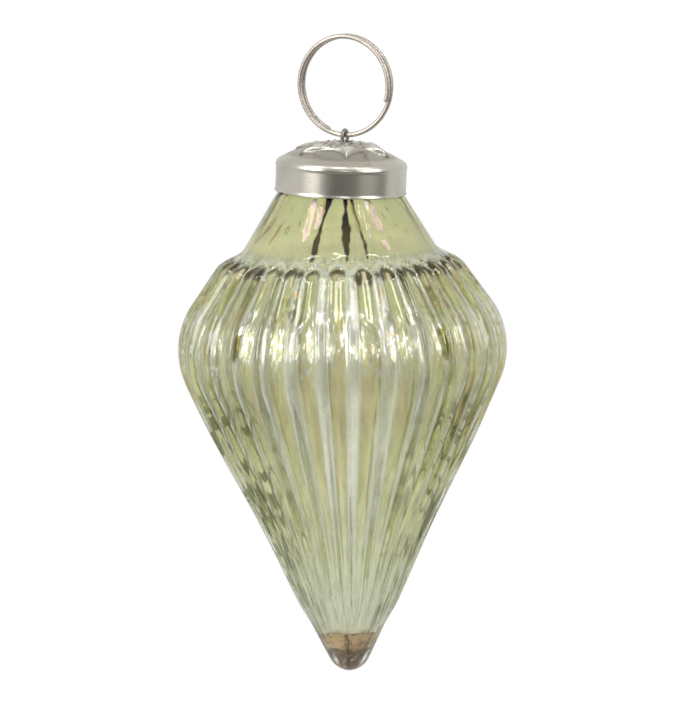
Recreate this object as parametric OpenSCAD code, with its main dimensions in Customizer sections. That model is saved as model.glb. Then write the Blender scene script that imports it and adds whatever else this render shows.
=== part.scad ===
// Fluted glass bauble with a pressed metal cap, a wire eyelet and a split ring to hang it by.
// Millimetres, +Z up. The origin is the point inside the top of the ring where a hook bears.

/* [Glass body] */
// Widest diameter, over the ridges between the flutes
body_d = 60; // [54:1:66]
// Radius of the belly's round, seen from the side
belly_round = 15.3; // [14:0.1:18]
// Slope of the upper flank, in degrees from upright
upper_slope = 35.2; // [34:0.1:38]
// Slope of the lower flank, in degrees from upright
lower_slope = 25.9; // [25:0.1:28]
// How far the lower flank swells under the belly and over the tip, and draws in between
flank_swell = 0.2; // [0:0.05:0.25]
// Height of the shoulder's edge above the widest level
shoulder_h = 16.1; // [15:0.1:17]
// Width of the ledge on which the flutes begin
ledge_w = 4.15; // [3.9:0.05:4.8]
// Slope of the ledge, in degrees from upright
ledge_slope = 65.6; // [55:0.1:68]
// Slope of the plain cone under the cap, in degrees from upright
cone_slope = 31.2; // [29:0.1:33]
// Outside diameter of the straight neck inside the cap
neck_d = 19.6; // [18:0.2:20]
// Height of the straight neck
neck_h = 1.4; // [1:0.1:1.8]
// Radius of the round at the tip
tip_round = 4.4; // [4:0.1:5.5]
// Thickness of the glass behind the floor of a flute
wall = 1.1; // [1:0.1:1.8]
// Depth of the dried lacquer that has run down into the tip
pool_depth = 5.3; // [3:0.1:7]

/* [Flutes] */
// Number of flutes round the body
flute_count = 30; // [24:2:34]
// Depth of a flute below its ridges at the belly
flute_depth = 1.2; // [0.8:0.1:1.4]
// How fast the depth falls with the body's radius
flute_taper = 0.75; // [0.6:0.05:1]
// How narrow the ridges are beside the flutes
ridge_sharpness = 3; // [1:0.25:4]
// Length of the arch that closes a flute at the shoulder
arch_len = 3; // [2:0.1:3]
// Length of the plain tip below the ends of the ridges
plain_tip = 8.7; // [8:0.1:12]
// Length over which a ridge dies out
ridge_runout = 1.2; // [1:0.1:2.5]

/* [Cap] */
// Outside diameter of the skirt
cap_d = 23.7; // [23.5:0.1:24.5]
// Height of the crown above the rim
cap_h = 9.3; // [9.2:0.1:9.8]
// Height of the skirt up to the shoulder's round
skirt_h = 4.8; // [4.6:0.1:5]
// Thickness of the sheet
sheet = 0.3; // [0.25:0.05:0.4]
// Lean of the cap on the neck, in degrees
cap_lean = 3.8; // [0:0.2:3.8]
// How far the cap has slipped over to its lower side
cap_slip = 0.3; // [0:0.05:0.3]
// Distance of the hole in the crown from the cap's middle
hole_aside = 0.55; // [0:0.05:0.6]
// Number of points of the star pressed into the top
star_points = 6; // [5:1:8]
// Height of the star above the sheet round it
star_rise = 0.45; // [0.3:0.05:0.6]

/* [Eyelet] */
// Diameter of the eyelet's wire
eyelet_wire_d = 0.7; // [0.6:0.05:0.75]
// Width of the loop between the middles of its legs
eyelet_w = 2.1; // [2:0.05:2.1]
// Height of the loop's centre above the crown of the cap
eyelet_h = 0.9; // [0.9:0.1:1.2]
// Length of the straight foot that each leg has under the cap
foot_len = 1.5; // [1:0.1:1.8]

/* [Split ring] */
// Outside diameter of the ring
ring_d = 18.7; // [17:0.1:20]
// Diameter of the ring's wire
ring_wire_d = 0.9; // [0.8:0.05:0.95]
// Turns of wire in the ring
ring_turns = 1.73; // [1.5:0.01:1.75]
// Gap between neighbouring turns
turn_gap = 0.42; // [0.42:0.02:0.6]
// Angle from the wire's first end to the bottom of the ring
end_to_bottom = 336; // [290:1:336]

/* [Hidden] */

$fn = 96;
cut_past = 1;
body_r = body_d / 2;
neck_r = neck_d / 2;
samples_per_flute = 5;
columns = flute_count * samples_per_flute;

// Corners of the body's outline over the ridges, as [radius, height above the widest level]
belly_centre = [body_r - belly_round, 0];
flank_top = on_circle(belly_centre, belly_round, upper_slope);
flank_foot = on_circle(belly_centre, belly_round, -lower_slope);
shoulder = flank_top + (shoulder_h - flank_top.y) * [-tan(upper_slope), 1];
ledge_in = shoulder + ledge_w * [-1, 1 / tan(ledge_slope)];
cone_top = [neck_r, ledge_in.y + (ledge_in.x - neck_r) / tan(cone_slope)];
lip = cone_top + [0, neck_h];
tip_centre = [0, flank_foot.y - flank_foot.x / tan(lower_slope) + tip_round / sin(lower_slope)];
tip_z = tip_centre.y - tip_round;
ridge_end_z = tip_z + plain_tip;
flank_end_z = tip_centre.y - tip_round * sin(lower_slope);
ridges_full_z = ridge_end_z + ridge_runout;
flank_levels = 6;
flank_step = (ridges_full_z - flank_foot.y) / (flank_levels + 1);
last_tip_turn = -80;

// Rounds at the ledge's two edges, and where the arches stand on it
inner_edge_round = 0.8;
outer_edge_round = 1.2;
ledge_dir = unit(shoulder - ledge_in);
arch_crown = ledge_in + inner_edge_round * ledge_dir;
arch_steps = [0.12, 0.35, 0.65, 1];

// The inside of the glass follows the ridges' outline at this distance
inset = wall + flute_depth;
pool_top_z = tip_centre.y - (tip_round - inset) + pool_depth;

// The cap's rim stands on the plain cone at its lower side
cap_r = cap_d / 2;
bore_r = cap_r - sheet;
seat_gap = 0.06;
rim_flare = 0.15;
mouth_r = bore_r + rim_flare;
rim_reach = cap_slip + mouth_r * cos(cap_lean) - seat_gap;
rim_seat_z = cone_top.y - (rim_reach - neck_r) / tan(cone_slope);
rim_z = rim_seat_z + mouth_r * sin(cap_lean);

// The cap's sections, as [radius, height above the rim]
flare_h = 0.6;
bead_w = 0.12;
bead_h = 0.25;
shoulder_round = 1.5;
bead_turn = 8;
shoulder_turn = 45;
slope_foot = [9.2, cap_h - 2.25];
slope_top = [7.6, cap_h - 1.65];
crown_r = 2.8;
hole_r = 1.5;
star_r = 9.4;
notch_r = 5.6;
notch_centre = (star_r ^ 2 - notch_r ^ 2) / (2 * (star_r * cos(180 / star_points) - notch_r));

// The cement fills the space between the skirt and the neck, a little short of the rim and of the shoulder
cement_above_rim = 0.2;
cement_below_shoulder = 0.95;
cement_foot_z = rim_z + bore_r * sin(cap_lean) + cement_above_rim;
cement_top_z = rim_z + skirt_h - cement_below_shoulder;

// The eyelet and the ring hang in line with the hole in the leaning cap, and the glass tilts until its
// weight lies under them
eyelet_x = cap_slip + hole_aside * cos(cap_lean) + (cap_h - sheet) * sin(cap_lean);
weight_drop = 44;
hang_tilt = atan(eyelet_x / weight_drop);
crown_z = rim_z + cap_h * cos(cap_lean) - hole_aside * sin(cap_lean);
loop_z = crown_z + eyelet_h;
loop_r = eyelet_w / 2;
running_gap = 0.05;
leg_bend_r = 1.4;
leg_drop = eyelet_h + sheet + running_gap;
ring_r = (ring_d - ring_wire_d) / 2;
swing_z = loop_z + loop_r - eyelet_wire_d / 2 - ring_wire_d / 2 - running_gap;
ring_z = swing_z + ring_r;
hook = [eyelet_x, 0, ring_z + ring_r - ring_wire_d / 2];
turn_pitch = ring_wire_d + turn_gap;
steps_per_turn = 40;
wire_sides = 10;
wire_path = [for (i = [0:round(ring_turns * steps_per_turn)]) i * 360 / steps_per_turn];

echo(hook_above_widest = hook.z, swing_below_hook = hook.z - swing_z, tip_below_hook = hook.z - tip_z);
echo(least_gap_between_turns = least_gap(wire_path));

function unit(v) = v / norm(v);
function on_circle(centre, radius, angle) = centre + radius * [cos(angle), sin(angle)];
function arc(centre, radius, from, to, steps) =
    [for (i = [0:steps]) on_circle(centre, radius, from + (to - from) * i / steps)];

// A corner of an outline, eased over a given reach along both its sides
function eased(before, corner, after, reach, steps) =
    let (a = corner + reach * unit(before - corner), b = corner + reach * unit(after - corner))
    [for (i = [0:steps]) let (t = i / steps) (1 - t) ^ 2 * a + 2 * t * (1 - t) * corner + t ^ 2 * b];

function lower_flank(z) =
    let (swell = flank_swell * sin(540 * (flank_foot.y - z) / (flank_foot.y - flank_end_z)))
    flank_foot + (z - flank_foot.y) * [tan(lower_slope), 1] + [swell, 0];

// The body's outline over the ridges, from the lip down to the tip
function outline() = concat(
    [lip, cone_top],
    eased(cone_top, ledge_in, shoulder, inner_edge_round, 2),
    [for (s = arch_steps) arch_crown + s * arch_len * ledge_dir],
    eased(ledge_in, shoulder, flank_top, outer_edge_round, 2),
    arc(belly_centre, belly_round, upper_slope, -lower_slope, 8),
    [for (i = [1:flank_levels]) lower_flank(flank_foot.y + i * flank_step)],
    [for (s = [1, 0.5, 0]) lower_flank(ridge_end_z + s * ridge_runout)],
    arc(tip_centre, tip_round, -lower_slope, last_tip_turn, 3)
);

// The inside of the glass, from the lip down to the tip
function inside() =
    let (arc_r = belly_round - inset, flank = on_circle(belly_centre, arc_r, upper_slope),
        below_shoulder = shoulder_h - wall, lining = wall / cos(cone_slope))
    concat(
        [[neck_r - wall, lip.y], [neck_r - wall, cone_top.y - (lining - wall) / tan(cone_slope)]],
        [ledge_in - [lining, 0], flank + (below_shoulder - flank.y) * [-tan(upper_slope), 1]],
        arc(belly_centre, arc_r, upper_slope, -lower_slope, 10),
        arc(tip_centre, tip_round - inset, -lower_slope, -90, 6)
    );

// Share of the full flute depth at an outline point: 0 on a ridge and 1 on the floor of a flute
function flute_share(p, across) =
    let (below_crown = (p - arch_crown) * ledge_dir,
        from_arch = p.y > arch_crown.y ? 1 : max(0, 1 - below_crown / arch_len),
        from_axis = min(1, norm([across, from_arch])),
        ridge = sin(90 * from_axis) ^ (2 * ridge_sharpness),
        alive = min(1, max(0, (p.y - ridge_end_z) / ridge_runout)))
    1 - alive * ridge;

function flute_drop(p, across) = flute_depth * (p.x / body_r) ^ flute_taper * flute_share(p, across);

// Direction square to the outline at one of its points
function outward(path, k) =
    let (along = unit(path[min(k + 1, len(path) - 1)] - path[max(k - 1, 0)]))
    [-along.y, along.x];

// One level of the fluted surface; a ridge stands at every whole flute from +X
function level(path, k) = [for (i = [0:columns - 1])
    let (turn = 360 * i / columns, phase = i % samples_per_flute / samples_per_flute,
        p = path[k] - flute_drop(path[k], abs(1 - 2 * phase)) * outward(path, k))
    [p.x * cos(turn), p.x * sin(turn), p.y]];

// Triangles that close the side between two neighbouring levels
function side(low, high, count) = [for (i = [0:count - 1]) let (j = (i + 1) % count)
    each [[low + i, high + i, high + j], [low + i, high + j, low + j]]];

// Centre of the ring's wire at an angle travelled from its first end
function wire_at(a) =
    let (turn = end_to_bottom - 90 - a)
    [ring_r * cos(turn), turn_pitch * (end_to_bottom - a) / 360, ring_r * sin(turn)];

function wire_section(a) =
    let (turn = end_to_bottom - 90 - a, out = [cos(turn), 0, sin(turn)], along = [0, 1, 0])
    [for (i = [0:wire_sides - 1]) let (b = 360 * i / wire_sides)
        wire_at(a) + ring_wire_d / 2 * (cos(b) * out + sin(b) * along)];

// Least clear gap between turns, measured on the wire's points half a turn or more apart
function least_gap(path) =
    min([for (a = path, b = path) if (b - a > 180) norm(wire_at(b) - wire_at(a))]) - ring_wire_d;

module hung() {
    translate(-hook) children();
}

// The glass and what is fixed to it, tilted about the place where the ring bears on the eyelet
module hung_glass() {
    hung() translate([eyelet_x, 0, swing_z]) rotate([0, -hang_tilt, 0]) translate([-eyelet_x, 0, -swing_z])
        children();
}

module glass_envelope() {
    path = outline();
    last = (len(path) - 1) * columns;
    tip = last + columns;
    polyhedron(
        concat([for (k = [0:len(path) - 1]) each level(path, k)], [[0, 0, tip_z]]),
        concat(
            [[for (i = [1:columns]) columns - i]],
            [for (k = [1:len(path) - 1]) each side(k * columns, (k - 1) * columns, columns)],
            [for (i = [0:columns - 1]) [last + i, last + (i + 1) % columns, tip]]
        )
    );
}

module glass_inside() {
    rotate_extrude() polygon(concat([[0, lip.y + cut_past], [neck_r - wall, lip.y + cut_past]], inside()));
}

// The plain cone and neck as a solid, to seat the cement on
module neck_core() {
    cone_r = neck_r + (cone_top.y - rim_seat_z) * tan(cone_slope);
    rotate_extrude()
        polygon([[0, rim_seat_z], [cone_r, rim_seat_z], cone_top, lip, [0, lip.y]]);
}

module on_neck() {
    translate([cap_slip, 0, rim_z]) rotate([0, cap_lean, 0]) children();
}

// A revolve of the cap that starts between two points of the star
module cap_revolve() {
    rotate(180 / star_points) rotate_extrude() children();
}

// Outside of the cap without its star, from the rim to the crown
module cap_outside() {
    cap_revolve() polygon(concat(
        [[0, 0], [cap_r + rim_flare, 0], [cap_r, flare_h]],
        [[cap_r, skirt_h - bead_h], [cap_r + bead_w, skirt_h]],
        arc([cap_r - shoulder_round, skirt_h], shoulder_round, bead_turn, shoulder_turn, 5),
        [slope_foot, slope_top, [crown_r, cap_h], [0, cap_h]]
    ));
}

// Space under the sheet, open below the rim
module cap_inside() {
    under = [sheet / 2, sheet];
    cap_revolve() polygon(concat(
        [[0, -cut_past], [mouth_r, -cut_past], [mouth_r, 0], [bore_r, flare_h]],
        arc([cap_r - shoulder_round, skirt_h], shoulder_round - sheet, 0, shoulder_turn, 5),
        [slope_foot - under, slope_top - under, [crown_r, cap_h - sheet], [0, cap_h - sheet]]
    ));
}

// Star outline with hollow sides, one point on the X axis
module star_outline() {
    difference() {
        circle(star_r);
        for (i = [0:star_points - 1])
            rotate((i + 0.5) * 360 / star_points) translate([notch_centre, 0]) circle(notch_centre - notch_r);
    }
}

module star() {
    intersection() {
        translate([0, 0, star_rise]) cap_outside();
        translate([0, 0, skirt_h]) linear_extrude(cap_h - skirt_h) star_outline();
    }
}

module glass_body() {
    color("darkkhaki") hung_glass() difference() {
        glass_envelope();
        glass_inside();
    }
}

module tip_lacquer() {
    color("saddlebrown") hung_glass() intersection() {
        glass_inside();
        translate([0, 0, tip_z]) cylinder(r = body_r, h = pool_top_z - tip_z);
    }
}

module cap() {
    color("silver") hung_glass() on_neck() difference() {
        union() {
            cap_outside();
            star();
        }
        cap_inside();
        translate([hole_aside, 0, skirt_h]) cylinder(r = hole_r, h = cap_h);
    }
}

module cap_cement() {
    color("tan") hung_glass() difference() {
        intersection() {
            on_neck() cylinder(r = bore_r, h = skirt_h);
            translate([0, 0, cement_foot_z]) cylinder(r = cap_d, h = cement_top_z - cement_foot_z);
        }
        neck_core();
    }
}

// One leg of the eyelet: straight through the cap, then bent out to a foot under it
module eyelet_leg() {
    translate([0, loop_r, -leg_drop]) cylinder(d = eyelet_wire_d, h = leg_drop);
    translate([0, loop_r + leg_bend_r, -leg_drop]) {
        rotate([90, 0, 90]) rotate(180) rotate_extrude(angle = 90)
            translate([leg_bend_r, 0]) circle(d = eyelet_wire_d);
        translate([0, 0, -leg_bend_r]) rotate([-90, 0, 0]) cylinder(d = eyelet_wire_d, h = foot_len);
    }
}

module eyelet() {
    color("slategray") hung() translate([eyelet_x, 0, loop_z]) {
        rotate([90, 0, 90]) rotate_extrude(angle = 180) translate([loop_r, 0]) circle(d = eyelet_wire_d);
        for (m = [0, 1]) mirror([0, m, 0]) eyelet_leg();
    }
}

module split_ring() {
    last = (len(wire_path) - 1) * wire_sides;
    color("lightgray") hung() translate([eyelet_x, 0, ring_z]) polyhedron(
        [for (a = wire_path) each wire_section(a)],
        concat(
            [[for (i = [0:wire_sides - 1]) i]],
            [for (k = [1:len(wire_path) - 1]) each side((k - 1) * wire_sides, k * wire_sides, wire_sides)],
            [[for (i = [1:wire_sides]) last + wire_sides - i]]
        )
    );
}

glass_body();
tip_lacquer();
cap();
cap_cement();
eyelet();
split_ring();
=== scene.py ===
from math import atan, cos, pi, radians, sin, sqrt, tan

import bpy
import numpy as np
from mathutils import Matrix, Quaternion, Vector


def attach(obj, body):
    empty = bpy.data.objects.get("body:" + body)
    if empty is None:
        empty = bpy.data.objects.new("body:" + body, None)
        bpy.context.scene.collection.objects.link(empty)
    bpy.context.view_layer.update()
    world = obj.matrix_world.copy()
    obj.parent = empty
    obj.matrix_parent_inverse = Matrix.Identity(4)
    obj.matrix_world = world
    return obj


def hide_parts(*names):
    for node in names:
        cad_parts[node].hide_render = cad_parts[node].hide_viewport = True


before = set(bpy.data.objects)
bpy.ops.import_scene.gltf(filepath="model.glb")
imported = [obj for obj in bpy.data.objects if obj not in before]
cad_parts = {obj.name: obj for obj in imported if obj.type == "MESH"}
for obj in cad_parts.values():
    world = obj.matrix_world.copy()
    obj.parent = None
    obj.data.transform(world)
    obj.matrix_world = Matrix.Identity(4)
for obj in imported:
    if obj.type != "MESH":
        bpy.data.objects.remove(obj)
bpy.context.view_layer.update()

MM = 0.001
SEED = 7
rng = np.random.default_rng(SEED)
scene = bpy.context.scene

# Glass body, in millimetres from the widest level, on the glass's own axis
BODY_R = 30.0
BELLY_ROUND = 15.3
UPPER_SLOPE = radians(35.2)
LOWER_SLOPE = radians(25.9)
FLANK_SWELL = 0.2
SHOULDER_H = 16.1
LEDGE_W = 4.15
LEDGE_SLOPE = radians(65.6)
CONE_SLOPE = radians(31.2)
NECK_R = 9.8
NECK_H = 1.4
LIP_ROUND = 0.2
TIP_ROUND = 4.4
WALL = 1.1
INNER_EDGE_ROUND = 0.8
OUTER_EDGE_ROUND = 1.2
FLUTES = 30
FLUTE_DEPTH = 1.2
FLUTE_TAPER = 0.75
BEAD_SHARE = 0.42
BEAD_PART = 0.45
ARCH_LEN = 3.0
PLAIN_TIP = 8.7
RIDGE_RUNOUT = 4.0
TIP_FILL = 0.55
TIP_FILL_Z = -34.0
TIP_FILL_OVER = 10.0

# Edges of the lip, as (in from the wall's face, up from the lip)
LIP_EDGES = ((0.15, -0.05), (0.4, 0.0))

# Inside of the glass, its film and the lacquer
INSET = WALL + FLUTE_DEPTH
INNER_FLUTE = 0.35
INNER_RIDGE = 0.45
LEDGE_WALL = 1.7
INSIDE_CORNER_ROUND = 0.8
INSIDE_LEDGE_ROUND = 1.0
TIP_NARROWER = 0.32
NARROWS_OVER = 7.0
TIP_DEEPER = 1.1
DEEPENS_ABOVE = 1.5
DEEPENS_OVER = 4.0
FILM_GAP = 0.05
POOL_DEPTH = 5.3
POOL_TILT = 0.2
POOL_SPREAD = 0.55
MENISCUS = 0.15
WETTING = 0.1
CRACK_W = 0.14

# Unevenness of the blown glass
SKIN_INSET = 0.1
WAVE_LIMIT = 0.05
WAVE_FADE_R = (2.0, 8.0)
INNER_FADE_R = (1.0, 12.0)
FOLD_RELIEF = 0.07
FOLD_RATE = 2.2
FOLD_ABOVE = 0.5
FOLD_SPREAD = 0.8

# Fineness of the meshes
COLUMNS = FLUTES * 18
OUTER_STEP = 0.3
INNER_STEP = 0.4
CAP_STEP = 0.16
ARC_STEPS = 60
EDGE_STEPS = 8
CORNER_STEPS = 10
OUTER_TIP_STEPS = 30
INNER_TIP_STEPS = 20
POLE_ANGLE = radians(-86)
POLE_GAP = 0.02
POOL_COLUMNS = 160
CAP_COLUMNS = 360
EYELET_SIDES = 20
RING_SIDES = 24
RING_STEPS = 340

# Cap, in millimetres from the middle of its rim
CAP_R = 11.85
CAP_H = 9.3
SKIRT_H = 4.8
SHEET = 0.3
CAP_LEAN = radians(3.8)
CAP_SLIP = 0.3
HOLE_ASIDE = 0.55
RIM_FLARE = 0.15
FLARE_H = 0.6
BEAD_W = 0.12
BEAD_H = 0.25
CAP_SHOULDER = 1.5
SHOULDER_TURN = radians(45)
SLOPE_FOOT = (9.2, CAP_H - 2.25)
SLOPE_TOP = (7.6, CAP_H - 1.65)
SLOPE_EASE = 0.6
CROWN_R = 2.8
HOLE_R = 1.5
SEAT_GAP = 0.06
CAP_INSET = 0.04

# Rim of the cap, as (out from the skirt, height), and its crown, as (radius, drop below the top)
RIM_CURL = ((RIM_FLARE - 0.05, 0), (RIM_FLARE, 0.06), (0.05, 0.35), (0, FLARE_H), (0, SKIRT_H - BEAD_H),
            (BEAD_W * 0.7, SKIRT_H - 0.1))
CROWN_EDGE = ((CROWN_R + 0.4, 0.12), (CROWN_R - 0.2, 0.03), (HOLE_R + 0.1, 0.02))

# Pressed ornament of the cap's top
STAR_POINTS = 6
STAR_R = 9.4
STAR_IN_R = 4.9
STAR_RISE = 0.45
STAR_EDGE = 0.5
NOTCH_R = 5.6
GROOVE = 0.24
GROOVE_OUT = 0.4
GROOVE_W = 0.45
RIB_RISE = 0.24
RIB_W = 0.6
FIELD_DROP = 0.2
GROOVE_R = 9.8
RELIEF_R = 10.2
BEADED_R = 5.3

# Where the ribs and the beaded field are, as low limit, rise, high limit and fall of the radius
RIB_BAND = (4.4, 1.5, 9.0, 1.6)
FIELD_BAND = (2.2, 0.5, 5.6, 0.5)

# Rings of pressed beads, as (count, radius, size, rise, turn as a share of the spacing)
BEAD_RINGS = ((18, 4.8, 0.5, 0.5, 0.5), (12, 3.4, 0.45, 0.4, 0))

# Dents of the cap, as (waves round, phase), and waves of its rim
DENT = 0.025
DENTS = ((3, 0.4), (5, 2.1), (8, 4.0), (13, 1.0))
DENT_FROM_R = 9.0
RIM_WAVE = 0.05
RIM_RIPPLE = 0.04
RIM_WAVE_H = 0.8

# Eyelet and ring. Their dressed wires are a little thinner than the solids, to stay inside their box
EYELET_WIRE = 0.7
LOOP_R = 1.05
EYELET_H = 0.9
LEG_BEND = 1.4
FOOT_LEN = 1.5
RUNNING_GAP = 0.05
WEIGHT_DROP = 44.0
RING_WIRE = 0.9
RING_R = 8.9
RING_TURNS = 1.73
TURN_PITCH = 1.32
END_TO_BOTTOM = 336.0
EYELET_FIT = 0.99
RING_FIT = 0.97
WIRE_END_EASE = 0.25
WIRE_END_SIZE = 0.78

# Angle round the axis, from +X, of the side that the photograph shows
FRONT = radians(-65)


def vec(*xs):
    return np.array(xs, float)


def round_angles(count):
    return np.linspace(0, 2 * pi, count, endpoint=False)


def round_points(r, a, z):
    """Points at radii, angles round the axis and heights."""
    return np.stack([r * np.cos(a), r * np.sin(a), z], 2)


def unit(v):
    return v / np.linalg.norm(v)


def arc(centre, radius, start, end, steps):
    a = np.linspace(start, end, steps + 1)
    return np.stack([centre[0] + radius * np.cos(a), centre[1] + radius * np.sin(a)], 1)


def eased(before, corner, after, reach, steps):
    """A corner of a path as a parabola that starts and ends at the reach from it."""
    a = corner + reach * unit(before - corner)
    b = corner + reach * unit(after - corner)
    t = np.linspace(0, 1, steps + 1)[:, None]
    return (1 - t) ** 2 * a + 2 * t * (1 - t) * corner + t ** 2 * b


def smooth(x):
    x = np.clip(x, 0, 1)
    return x * x * (3 - 2 * x)


def between(x, low, rise, high, fall):
    """1 between two limits, risen after the low one and fallen before the high one."""
    return smooth((x - low) / rise) * smooth((high - x) / fall)


def wrapped(angle):
    return (angle + pi) % (2 * pi) - pi


def respaced(path, spacing):
    """The path's points at an even spacing."""
    length = np.concatenate([[0], np.cumsum(np.linalg.norm(np.diff(path, axis=0), axis=1))])
    keep = np.concatenate([[True], np.diff(length) > 1e-9])
    at = np.linspace(0, length[-1], int(length[-1] / spacing) + 1)
    return np.stack([np.interp(at, length[keep], path[keep, k]) for k in range(path.shape[1])], 1)


# Corners of the outline over the ridges, as (radius, height)
BELLY_CENTRE = vec(BODY_R - BELLY_ROUND, 0)
FLANK_TOP = BELLY_CENTRE + BELLY_ROUND * vec(cos(UPPER_SLOPE), sin(UPPER_SLOPE))
FLANK_FOOT = BELLY_CENTRE + BELLY_ROUND * vec(cos(LOWER_SLOPE), -sin(LOWER_SLOPE))
SHOULDER = FLANK_TOP + (SHOULDER_H - FLANK_TOP[1]) * vec(-tan(UPPER_SLOPE), 1)
LEDGE_IN = SHOULDER + LEDGE_W * vec(-1, 1 / tan(LEDGE_SLOPE))
CONE_TOP = vec(NECK_R, LEDGE_IN[1] + (LEDGE_IN[0] - NECK_R) / tan(CONE_SLOPE))
LIP = CONE_TOP + vec(0, NECK_H)
POINT_Z = FLANK_FOOT[1] - FLANK_FOOT[0] / tan(LOWER_SLOPE)
TIP_CENTRE = vec(0, POINT_Z + TIP_ROUND / sin(LOWER_SLOPE))
TIP_Z = TIP_CENTRE[1] - TIP_ROUND
RIDGE_END_Z = TIP_Z + PLAIN_TIP
FLANK_END_Z = TIP_CENTRE[1] - TIP_ROUND * sin(LOWER_SLOPE)
LEDGE_DIR = unit(SHOULDER - LEDGE_IN)
ARCH_CROWN = LEDGE_IN + INNER_EDGE_ROUND * LEDGE_DIR
POOL_TOP_Z = TIP_CENTRE[1] - (TIP_ROUND - INSET) + POOL_DEPTH

# Places of the cap, the eyelet and the ring on the neck
MOUTH_R = CAP_R - SHEET + RIM_FLARE
RIM_REACH = CAP_SLIP + MOUTH_R * cos(CAP_LEAN) - SEAT_GAP
RIM_Z = CONE_TOP[1] - (RIM_REACH - NECK_R) / tan(CONE_SLOPE) + MOUTH_R * sin(CAP_LEAN)
EYELET_X = CAP_SLIP + HOLE_ASIDE * cos(CAP_LEAN) + (CAP_H - SHEET) * sin(CAP_LEAN)
HANG_TILT = atan(EYELET_X / WEIGHT_DROP)
LOOP_Z = RIM_Z + CAP_H * cos(CAP_LEAN) - HOLE_ASIDE * sin(CAP_LEAN) + EYELET_H
LEG_DROP = EYELET_H + SHEET + RUNNING_GAP
SWING_Z = LOOP_Z + LOOP_R - EYELET_WIRE / 2 - RING_WIRE / 2 - RUNNING_GAP
RING_Z = SWING_Z + RING_R
HOOK = vec(EYELET_X, 0, RING_Z + RING_R - RING_WIRE / 2)


def turned_y(points, angle):
    c, s = cos(angle), sin(angle)
    return points @ np.array([[c, 0, s], [0, 1, 0], [-s, 0, c]]).T


def hung(points):
    """Points of the upright pieces in the row frame, in metres."""
    return (points - HOOK) * MM


def hung_glass(points):
    """Points of the glass and what is fixed to it, tilted about the place where the ring bears."""
    pivot = vec(EYELET_X, 0, SWING_Z)
    return hung(turned_y(points - pivot, -HANG_TILT) + pivot)


def on_neck(points):
    return turned_y(points, CAP_LEAN) + vec(CAP_SLIP, 0, RIM_Z)


def mesh_object(name, verts, faces, body, node):
    mesh = bpy.data.meshes.new(name)
    mesh.from_pydata(verts.tolist(), [], faces)
    mesh.polygons.foreach_set("use_smooth", [True] * len(mesh.polygons))
    mesh.update()
    obj = bpy.data.objects.new(name, mesh)
    scene.collection.objects.link(obj)
    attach(obj, body)
    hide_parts(node)
    return obj


def grid_faces(rows, cols, wrap_rows=False):
    """Quads of a grid whose columns close round."""
    faces = []
    for i in range(rows if wrap_rows else rows - 1):
        a, b = i * cols, (i + 1) % rows * cols
        faces += [(a + j, b + j, b + (j + 1) % cols, a + (j + 1) % cols) for j in range(cols)]
    return faces


def fan(row_start, cols, pole, flip):
    ring = [(row_start + j, row_start + (j + 1) % cols) for j in range(cols)]
    return [(b, a, pole) if flip else (a, b, pole) for a, b in ring]


def closed_faces(rows, cols):
    """Faces of a grid closed at both ends by fans to two poles that follow its points."""
    n = rows * cols
    return grid_faces(rows, cols) + fan(0, cols, n, True) + fan(n - cols, cols, n + 1, False)


def tube(path, radius, sides, up):
    """Vertices and faces of a round wire along a path, its ends eased."""
    along = np.gradient(path, axis=0)
    along /= np.linalg.norm(along, axis=1)[:, None]
    side = np.cross(along, up)
    side /= np.linalg.norm(side, axis=1)[:, None]
    over = np.cross(side, along)
    ease = radius * WIRE_END_EASE
    path = np.concatenate([[path[0]], [path[0] + along[0] * ease], path[1:-1],
                           [path[-1] - along[-1] * ease], [path[-1]]])
    side, over = (np.concatenate([v[:1], v, v[-1:]]) for v in (side, over))
    size = np.full(len(path), radius)
    size[[0, -1]] = radius * WIRE_END_SIZE
    a = round_angles(sides)
    rows = path[:, None] + size[:, None, None] * (
        np.cos(a)[None, :, None] * side[:, None] + np.sin(a)[None, :, None] * over[:, None])
    verts = np.concatenate([rows.reshape(-1, 3), path[:1], path[-1:]])
    return verts, closed_faces(len(path), sides)


def add_points(obj, **fields):
    """Named values, or vectors, at each point of the mesh."""
    for name, values in fields.items():
        values = np.asarray(values, np.float32)
        kind, key = ("FLOAT_VECTOR", "vector") if values.ndim == 2 else ("FLOAT", "value")
        obj.data.attributes.new(name, kind, "POINT").data.foreach_set(key, values.ravel())


# Glass: one closed skin, from the bottom of the inside up to the lip and down the outside
def lower_flank():
    t = np.linspace(0, 1, ARC_STEPS + 1)
    z = FLANK_FOOT[1] + t * (FLANK_END_Z - FLANK_FOOT[1])
    straight = FLANK_FOOT[0] + (z - FLANK_FOOT[1]) * tan(LOWER_SLOPE)
    return np.stack([straight + FLANK_SWELL * np.sin(3 * pi * t), z], 1)


def outline():
    path = np.concatenate([
        [LIP - vec(0, LIP_ROUND), CONE_TOP],
        eased(CONE_TOP, LEDGE_IN, SHOULDER, INNER_EDGE_ROUND, EDGE_STEPS),
        eased(LEDGE_IN, SHOULDER, FLANK_TOP, OUTER_EDGE_ROUND, EDGE_STEPS),
        arc(BELLY_CENTRE, BELLY_ROUND, UPPER_SLOPE, -LOWER_SLOPE, ARC_STEPS),
        lower_flank(),
        arc(TIP_CENTRE, TIP_ROUND, -LOWER_SLOPE, POLE_ANGLE, OUTER_TIP_STEPS),
    ])
    return respaced(path, OUTER_STEP)


def crossing(a, along_a, b, along_b):
    """The point where two lines of the outline cross."""
    t = np.linalg.solve(np.stack([along_a, -along_b], 1), b - a)
    return a + t[0] * along_a


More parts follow.
